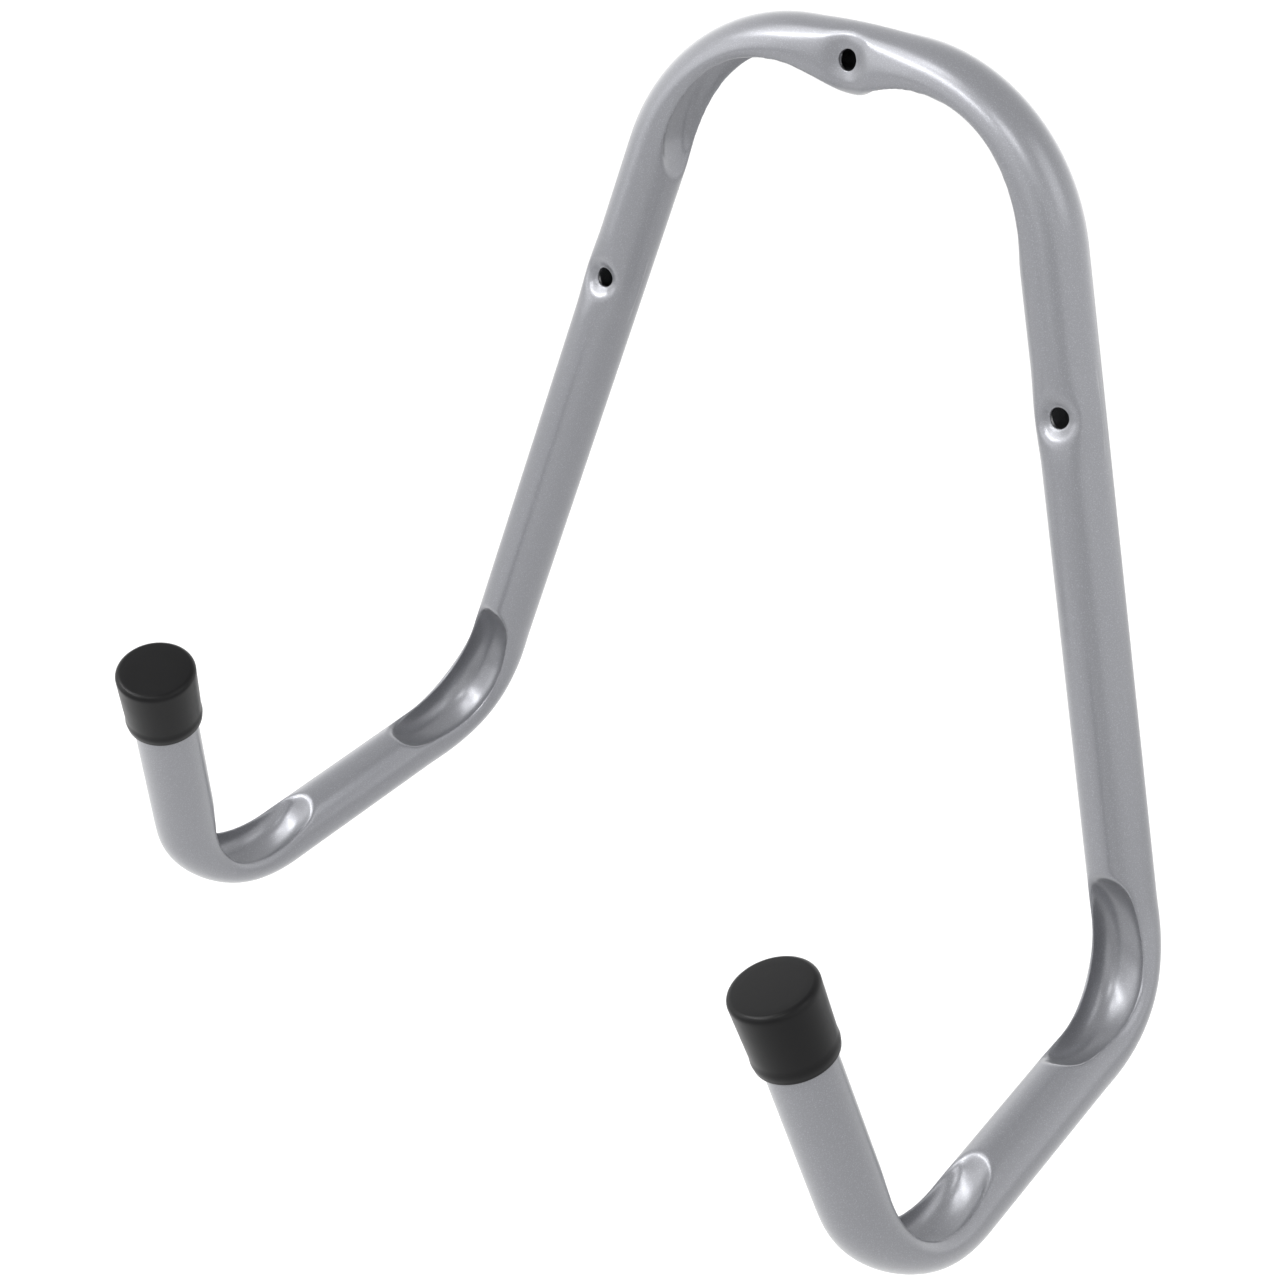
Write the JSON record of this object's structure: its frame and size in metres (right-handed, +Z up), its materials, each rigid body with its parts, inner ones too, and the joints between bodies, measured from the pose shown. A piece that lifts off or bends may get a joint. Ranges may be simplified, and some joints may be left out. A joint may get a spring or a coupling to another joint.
{
  "type": "garage utility hook",
  "caption": "Wall-mounted utility hook of one bent steel tube: an A-shaped frame with pressed bends and a pair of upturned arms with vinyl end caps.",
  "frame": {"origin": "on the axis of the top screw hole, at the wall's face, where the back of the tube touches the wall", "axes": "+Z up the wall, -Y out from the wall towards the user, X along the wall with the hook symmetric about X = 0"},
  "size_m": [0.3436, 0.2066, 0.3416],
  "materials": {
    "powder_coated_steel": "satin silver-grey powder coat",
    "vinyl_cap": "satin black dipped vinyl"
  },
  "bodies": {
    "root": {"bent_tube": "powder_coated_steel", "left_end_cap": "vinyl_cap", "right_end_cap": "vinyl_cap"}
  },
  "joints": []
}
